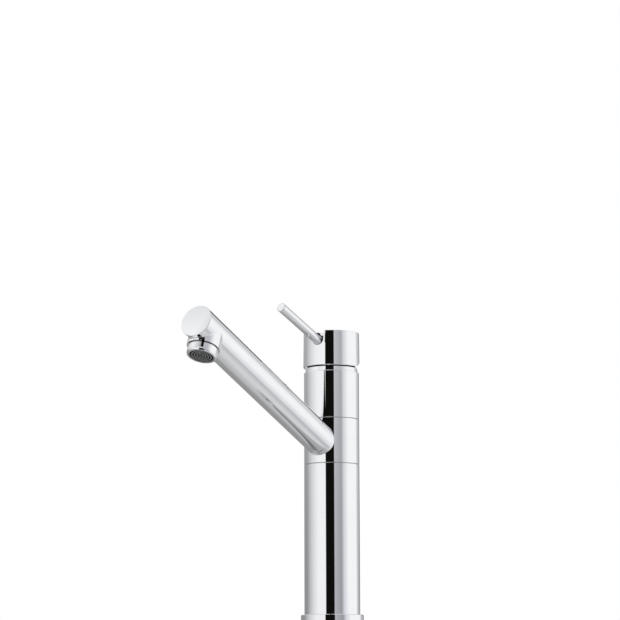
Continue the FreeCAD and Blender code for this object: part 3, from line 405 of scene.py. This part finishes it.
# Moulded rubber: near black, with a pale bloom in soft patches and a fine matt grain
def make_rubber():
    material, tree, place = new_material("moulded_rubber")
    bloom = add(tree, "ShaderNodeTexNoise", {"Scale": per_metre(7), "Detail": 3.0}, {"Vector": place})
    tint = add(tree, "ShaderNodeMix",
               {"data_type": "RGBA", MIX_FROM: linear("171718"), MIX_TO: linear("2A2A2B")},
               {"Factor": bloom.outputs["Fac"]})
    matt = add(tree, "ShaderNodeTexNoise", {"Scale": per_metre(0.3), "Detail": 2.0}, {"Vector": place})
    gloss = add(tree, "ShaderNodeMapRange", {"To Min": 0.5, "To Max": 0.72},
                {"Value": matt.outputs["Fac"]})
    grain = add(tree, "ShaderNodeBump", {"Strength": 0.4, "Distance": 0.02 * MM},
                {"Height": matt.outputs["Fac"]})
    finish_material(tree, {"IOR": 1.52}, {
        "Base Color": tint.outputs[MIX_COLOUR], "Roughness": gloss.outputs["Result"],
        "Normal": grain.outputs["Normal"],
    })
    return material


# Turned acetal: milky white and satin, with rings from the cutting tool
def make_acetal():
    material, tree, place = new_material("turned_acetal")
    rings = add(tree, "ShaderNodeTexWave", {"bands_direction": "Z", "Scale": per_metre(0.4) / WAVE_RUN},
                {"Vector": place})
    milky = add(tree, "ShaderNodeTexNoise", {"Scale": per_metre(10), "Detail": 2.0}, {"Vector": place})
    tint = add(tree, "ShaderNodeMix",
               {"data_type": "RGBA", MIX_FROM: linear("EDECE6"), MIX_TO: linear("E2E1DA")},
               {"Factor": milky.outputs["Fac"]})
    gloss = add(tree, "ShaderNodeMapRange", {"To Min": 0.3, "To Max": 0.42},
                {"Value": rings.outputs["Fac"]})
    marks = add(tree, "ShaderNodeBump", {"Strength": 0.25, "Distance": 0.02 * MM},
                {"Height": rings.outputs["Fac"]})
    finish_material(tree, {"IOR": 1.48}, {
        "Base Color": tint.outputs[MIX_COLOUR], "Roughness": gloss.outputs["Result"],
        "Normal": marks.outputs["Normal"],
    })
    return material


# Moulded acetal: pale grey that flows a little lighter and darker from the gate, with the
# fine spark-eroded grain of its mould
def make_moulded():
    material, tree, place = new_material("moulded_acetal")
    flow = add(tree, "ShaderNodeTexNoise",
               {"Scale": per_metre(12), "Detail": 1.0, "Distortion": 0.8}, {"Vector": place})
    tint = add(tree, "ShaderNodeMix",
               {"data_type": "RGBA", MIX_FROM: linear("DCDCD9"), MIX_TO: linear("CFCFCC")},
               {"Factor": flow.outputs["Fac"]})
    spark = add(tree, "ShaderNodeTexVoronoi", {"Scale": per_metre(0.25)}, {"Vector": place})
    gloss = add(tree, "ShaderNodeMapRange", {"From Max": 0.7, "To Min": 0.35, "To Max": 0.5},
                {"Value": spark.outputs["Distance"]})
    grain = add(tree, "ShaderNodeBump", {"Strength": 0.3, "Distance": 0.012 * MM},
                {"Height": spark.outputs["Distance"]})
    finish_material(tree, {"IOR": 1.49}, {
        "Base Color": tint.outputs[MIX_COLOUR], "Roughness": gloss.outputs["Result"],
        "Normal": grain.outputs["Normal"],
    })
    return material


# Black nylon. The screen's ribs at its face are pale grey from lime in the water, and behind the face it
# grows darker to black, painted shade in the grooves, so the rings stand out. Away from the outlet's
# face, as on the cover ring under the cap, it stays plain black.
def make_screen_nylon():
    material, tree, place = new_material("limed_nylon_with_groove_shade")
    # Pale at the screen's face and darker with depth behind it: lime on the ribs, and painted shade in
    # the grooves
    lime_and_groove_shade = down_outlet(tree, place, SCREEN_DEPTH - CELL_INSET, SCREEN_DEPTH - LIME_FULL)
    lime = add(tree, "ShaderNodeTexNoise", {"Scale": per_metre(1.2), "Detail": 3.0}, {"Vector": place})
    rib = add(tree, "ShaderNodeMix",
              {"data_type": "RGBA", MIX_FROM: linear("7C7D7E"), MIX_TO: linear("58595B")},
              {"Factor": lime.outputs["Fac"]})
    tint = add(tree, "ShaderNodeMix", {"data_type": "RGBA", MIX_FROM: linear("0E0E0F")},
               {"Factor": lime_and_groove_shade, MIX_TO: rib.outputs[MIX_COLOUR]})
    gloss = add(tree, "ShaderNodeMapRange", {"To Min": 0.4, "To Max": 0.6},
                {"Value": lime.outputs["Fac"]})
    finish_material(tree, {"IOR": 1.53}, {
        "Base Color": tint.outputs[MIX_COLOUR], "Roughness": gloss.outputs["Result"],
    })
    return material


# Lapped alumina: warm white and dense, with faint grey specks and a silky gloss
def make_ceramic():
    material, tree, place = new_material("lapped_alumina")
    specks = add(tree, "ShaderNodeTexNoise", {"Scale": per_metre(0.6), "Detail": 3.0}, {"Vector": place})
    tint = add(tree, "ShaderNodeValToRGB", links={"Fac": specks.outputs["Fac"]})
    set_ramp(tint, [(0.28, "CFCBC2"), (0.4, "EFECE4"), (0.7, "F4F2EC")])
    gloss = add(tree, "ShaderNodeMapRange", {"To Min": 0.12, "To Max": 0.24},
                {"Value": specks.outputs["Fac"]})
    finish_material(tree, {"IOR": 1.76}, {
        "Base Color": tint.outputs["Color"], "Roughness": gloss.outputs["Result"],
    })
    return material


# Matt studio paint, with the faint roller texture that keeps it from looking like paper
def make_floor_paint():
    material, tree, place = new_material("matt_studio_paint")
    roller = add(tree, "ShaderNodeTexNoise", {"Scale": per_metre(40), "Detail": 2.0}, {"Vector": place})
    tint = add(tree, "ShaderNodeMix",
               {"data_type": "RGBA", MIX_FROM: linear("F4F4F4"), MIX_TO: linear("F0F0F0")},
               {"Factor": roller.outputs["Fac"]})
    finish_material(tree, {"Roughness": 0.7}, {"Base Color": tint.outputs[MIX_COLOUR]})
    return material


def make_floor():
    """A round floor that the metal doesn't mirror, since the painted studio has its own."""
    bpy.ops.mesh.primitive_circle_add(vertices=FLOOR_SIDES, radius=FLOOR_RADIUS, fill_type="NGON")
    floor = bpy.context.object
    floor.name = "floor"
    for vertex in floor.data.vertices:
        vertex.co.z = -FLOOR_DROP
    floor.data.materials.append(make_floor_paint())
    floor.visible_glossy = False


def make_lamp():
    """A soft lamp in front of the tap, to one side and above it, aimed at the origin."""
    data = bpy.data.lights.new("soft_lamp", "AREA")
    data.shape = "DISK"
    data.size = LAMP_SIZE
    data.energy = LAMP_WATTS
    lamp = bpy.data.objects.new("soft_lamp", data)
    bpy.context.scene.collection.objects.link(lamp)
    lamp.location = (LAMP_SIDE, -LAMP_SIDE, LAMP_HEIGHT)
    lamp.rotation_euler = (-lamp.location).to_track_quat("-Z", "Y").to_euler()
    lamp.visible_glossy = False


def make_camera():
    """The photo's view, from a camera fitted to the tap's edges."""
    data = bpy.data.cameras.new("camera")
    data.lens = LENS_MM
    data.sensor_width = SENSOR_MM
    camera = bpy.data.objects.new("camera", data)
    bpy.context.scene.collection.objects.link(camera)
    turn = Matrix.Rotation(math.radians(CAMERA_TURN), 4, "Z")
    place = turn @ Vector((CAMERA_SIDE, -CAMERA_DISTANCE, CAMERA_HEIGHT))
    tilt = Matrix.Rotation(math.radians(90 + CAMERA_PITCH), 4, "X")
    roll = Matrix.Rotation(math.radians(CAMERA_ROLL), 4, "Z")
    camera.matrix_world = Matrix.Translation(place) @ turn @ tilt @ roll
    bpy.context.scene.camera = camera


def new_piece(name, mesh, material, body):
    """Puts a finished mesh in the scene as a piece of one body."""
    if not mesh.materials:
        mesh.materials.append(material)
    piece = bpy.data.objects.new(name, mesh)
    bpy.context.scene.collection.objects.link(piece)
    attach(piece, body)
    return piece


def new_nodes(name, inputs):
    """A Geometry Nodes tree with named inputs, and the sockets that give their values."""
    tree = bpy.data.node_groups.new(name, "GeometryNodeTree")
    for label, kind in inputs:
        tree.interface.new_socket(label, in_out="INPUT", socket_type=kind)
    tree.interface.new_socket("Geometry", in_out="OUTPUT", socket_type="NodeSocketGeometry")
    return tree, add(tree, "NodeGroupInput").outputs


def finish_nodes(tree, geometry, material):
    """Ends a tree with plain geometry of one material."""
    plain = add(tree, "GeometryNodeRealizeInstances", links={"Geometry": geometry})
    painted = add(tree, "GeometryNodeSetMaterial", {"Material": material}, {"Geometry": plain.outputs[0]})
    add(tree, "NodeGroupOutput", links={0: painted.outputs[0]})


def run_nodes(tree, values):
    """The plain mesh that a tree makes for the named values."""
    carrier = bpy.data.objects.new(tree.name, bpy.data.meshes.new(tree.name))
    bpy.context.scene.collection.objects.link(carrier)
    modifier = carrier.modifiers.new(tree.name, "NODES")
    modifier.node_group = tree
    for socket in tree.interface.items_tree:
        if socket.in_out == "INPUT":
            modifier[socket.identifier] = values[socket.name]
    graph = bpy.context.evaluated_depsgraph_get()
    mesh = bpy.data.meshes.new_from_object(carrier.evaluated_get(graph))
    carrier.modifiers.clear()
    bpy.data.objects.remove(carrier)
    return mesh


def make_cell_nodes(material):
    """Short walls stood round a ring, which part it into cells."""
    tree, given = new_nodes("aerator_cells", (
        ("Ring Radius", "NodeSocketFloat"), ("Walls", "NodeSocketInt"), ("Wall Long", "NodeSocketFloat"),
        ("Wall Thick", "NodeSocketFloat"), ("Wall Deep", "NodeSocketFloat"),
    ))
    ring = add(tree, "GeometryNodeMeshCircle",
               links={"Vertices": given["Walls"], "Radius": given["Ring Radius"]})
    size = add(tree, "ShaderNodeCombineXYZ",
               links={"X": given["Wall Long"], "Y": given["Wall Thick"], "Z": given["Wall Deep"]})
    wall = add(tree, "GeometryNodeMeshCube", links={"Size": size.outputs[0]})
    number = add(tree, "GeometryNodeInputIndex")
    share = add(tree, "ShaderNodeMath", {"operation": "DIVIDE"},
                {0: number.outputs[0], 1: given["Walls"]})
    angle = add(tree, "ShaderNodeMath", {"operation": "MULTIPLY", 1: math.tau}, {0: share.outputs[0]})
    turn = add(tree, "ShaderNodeCombineXYZ", links={"Z": angle.outputs[0]})
    walls = add(tree, "GeometryNodeInstanceOnPoints",
                links={"Points": ring.outputs[0], "Instance": wall.outputs[0],
                       "Rotation": turn.outputs[0]})
    finish_nodes(tree, walls.outputs[0], material)
    return tree


def make_net_nodes(material):
    """A round net of two crossed layers of straight wires, each cut to the circle."""
    tree, given = new_nodes("aerator_net", (
        ("Net Radius", "NodeSocketFloat"), ("Wires", "NodeSocketInt"), ("Wire Radius", "NodeSocketFloat"),
    ))
    start = add(tree, "ShaderNodeMath", {"operation": "MULTIPLY", 1: -1.0}, {0: given["Net Radius"]})
    row = add(tree, "GeometryNodeMeshLine", {"mode": "END_POINTS"}, {"Count": given["Wires"]})
    for name, reach in (("Start Location", start.outputs[0]), ("Offset", given["Net Radius"])):
        point = add(tree, "ShaderNodeCombineXYZ", links={"X": reach})
        tree.links.new(point.outputs[0], row.inputs[name])
    place = add(tree, "GeometryNodeInputPosition")
    across = add(tree, "ShaderNodeSeparateXYZ", links={0: place.outputs[0]})
    beside = add(tree, "ShaderNodeMath", {"operation": "DIVIDE"},
                 {0: across.outputs["X"], 1: given["Net Radius"]})
    square = add(tree, "ShaderNodeMath", {"operation": "MULTIPLY"},
                 {0: beside.outputs[0], 1: beside.outputs[0]})
    rest = add(tree, "ShaderNodeMath", {"operation": "SUBTRACT", 0: 1.0}, {1: square.outputs[0]})
    share = add(tree, "ShaderNodeMath", {"operation": "SQRT"}, {0: rest.outputs[0]})
    shape = add(tree, "ShaderNodeCombineXYZ", {"X": 1.0, "Y": 1.0}, {"Z": share.outputs[0]})
    long = add(tree, "ShaderNodeMath", {"operation": "MULTIPLY", 1: 2.0}, {0: given["Net Radius"]})
    wire = add(tree, "GeometryNodeMeshCylinder", {"Vertices": NET_WIRE_SIDES},
               {"Radius": given["Wire Radius"], "Depth": long.outputs[0]})
    layer = add(tree, "GeometryNodeInstanceOnPoints", {"Rotation": (math.pi / 2, 0, 0)},
                {"Points": row.outputs[0], "Instance": wire.outputs[0], "Scale": shape.outputs[0]})
    step = add(tree, "ShaderNodeCombineXYZ", links={"Z": given["Wire Radius"]})
    crossed = add(tree, "GeometryNodeTransform", {"Rotation": (0, 0, math.pi / 2)},
                  {"Geometry": layer.outputs[0], "Translation": step.outputs[0]})
    both = add(tree, "GeometryNodeJoinGeometry")
    for part in (layer, crossed):
        tree.links.new(part.outputs[0], both.inputs[0])
    finish_nodes(tree, both.outputs[0], material)
    return tree


def make_cells(face, radius, nylon):
    """Cells in the screen's grooves, sunk below its face and let into the ribs on both sides."""
    tree = make_cell_nodes(nylon)
    for number in range(1, RING_COUNT):
        middle = radius - (RING_PITCH * number - RING_PITCH / 2 + RING_WIDTH / 2) * MM
        mesh = run_nodes(tree, {
            "Ring Radius": middle,
            "Walls": round(math.tau * middle / (CELL_PITCH * MM)),
            "Wall Long": (RING_PITCH - RING_WIDTH + CELL_BITE) * MM,
            "Wall Thick": CELL_WALL * MM,
            "Wall Deep": CELL_DEEP * MM,
        })
        mesh.transform(face @ Matrix.Translation((0, 0, -(CELL_INSET + CELL_DEEP / 2) * MM)))
        new_piece(f"aerator_cells_{number}", mesh, nylon, "spout")


def make_centre_rib(face, nylon):
    """A small round rib about the screen's middle."""
    bpy.ops.mesh.primitive_torus_add(
        major_radius=CENTRE_RIB_RADIUS * MM, minor_radius=RING_WIDTH / 2 * MM,
        major_segments=CENTRE_RIB_STEPS, minor_segments=CENTRE_RIB_SIDES,
        location=(0, 0, 0), rotation=(0, 0, 0))
    made = bpy.context.object
    mesh = made.data
    bpy.data.objects.remove(made)
    mesh.transform(face @ Matrix.Translation((0, 0, -RING_WIDTH / 2 * MM)))
    new_piece("aerator_centre_rib", mesh, nylon, "spout")


def make_net(face, radius, nylon):
    """The woven net on the grooves' floor."""
    reach = radius - RING_WIDTH * MM
    mesh = run_nodes(make_net_nodes(nylon), {
        "Net Radius": reach,
        "Wires": round(2 * reach / (NET_PITCH * MM)),
        "Wire Radius": NET_WIRE * MM,
    })
    mesh.transform(face @ Matrix.Translation((0, 0, -(GROOVE_DEEP - NET_WIRE * 2) * MM)))
    new_piece("aerator_net", mesh, nylon, "spout")


def make_screen_detail(nylon):
    """What the aerator's screen holds, set square to the outlet from the screen's own box."""
    low, high = (Vector(corner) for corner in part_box("aerator_screen"))
    rise = math.radians(SPOUT_ANGLE)
    radius = (high.x - low.x) / 2
    deep = (high.z - low.z - 2 * radius * math.sin(rise)) / math.cos(rise)
    face = Matrix.Translation((low + high) / 2) @ Matrix.Rotation(math.pi - rise, 4, "X")
    face = face @ Matrix.Translation((0, 0, deep / 2))
    make_cells(face, radius, nylon)
    make_centre_rib(face, nylon)
    make_net(face, radius, nylon)


def make_stud(steel):
    """The fixing stud with its rolled thread, in place of the plain rod."""
    low, high = (Vector(corner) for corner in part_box("fixing_stud"))
    middle = (low + high) / 2
    radius = (high.x - low.x) / 2
    length = high.z - low.z
    count = int(length / (THREAD_PITCH * MM / THREAD_STEPS))
    corners = []
    for ring in range(count + 1):
        level = low.z + length * ring / count
        end = min(level - low.z, high.z - level) / (THREAD_RUNOUT * MM)
        room = radius - THREAD_DEEP * MM * (1 - min(1.0, end))
        for side in range(THREAD_SIDES):
            share = side / THREAD_SIDES
            phase = (ring / THREAD_STEPS - share) % 1
            crest = min(1.0, abs(phase * 2 - 1) * THREAD_FLAT)
            reach = min(room, radius - THREAD_DEEP * MM * (1 - crest))
            angle = math.tau * share
            corners.append((middle.x + reach * math.cos(angle),
                            middle.y + reach * math.sin(angle), level))
    faces = []
    for ring in range(count):
        for side in range(THREAD_SIDES):
            here = ring * THREAD_SIDES + side
            beside = ring * THREAD_SIDES + (side + 1) % THREAD_SIDES
            faces.append((here, beside, beside + THREAD_SIDES, here + THREAD_SIDES))
    faces.append(tuple(range(THREAD_SIDES - 1, -1, -1)))
    faces.append(tuple(range(count * THREAD_SIDES, (count + 1) * THREAD_SIDES)))
    mesh = bpy.data.meshes.new("stud_thread")
    mesh.from_pydata(corners, [], faces)
    mesh.validate()
    stud = new_piece("stud_thread", mesh, steel, "fixed_body")
    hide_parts("fixing_stud")


make_world()
make_floor()
make_lamp()
make_camera()

FINISHES = {
    "chrome": make_chrome(),
    "raw_brass": make_brass(),
    "steel": make_steel(),
    "cast_zinc": make_cast_zinc(),
    "black_rubber": make_rubber(),
    "slide_plastic": make_acetal(),
    "cartridge_plastic": make_moulded(),
    "dark_plastic": make_screen_nylon(),
    "disc_ceramic": make_ceramic(),
}

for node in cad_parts.values():
    slot = node.data.materials[0].name.split(".")[0]
    node.data.materials[0] = FINISHES[slot]
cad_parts["aerator_ring"].data.materials[0] = make_ring_chrome()

make_screen_detail(FINISHES["dark_plastic"])
make_stud(FINISHES["steel"])

bpy.context.scene.view_settings.view_transform = "Standard"
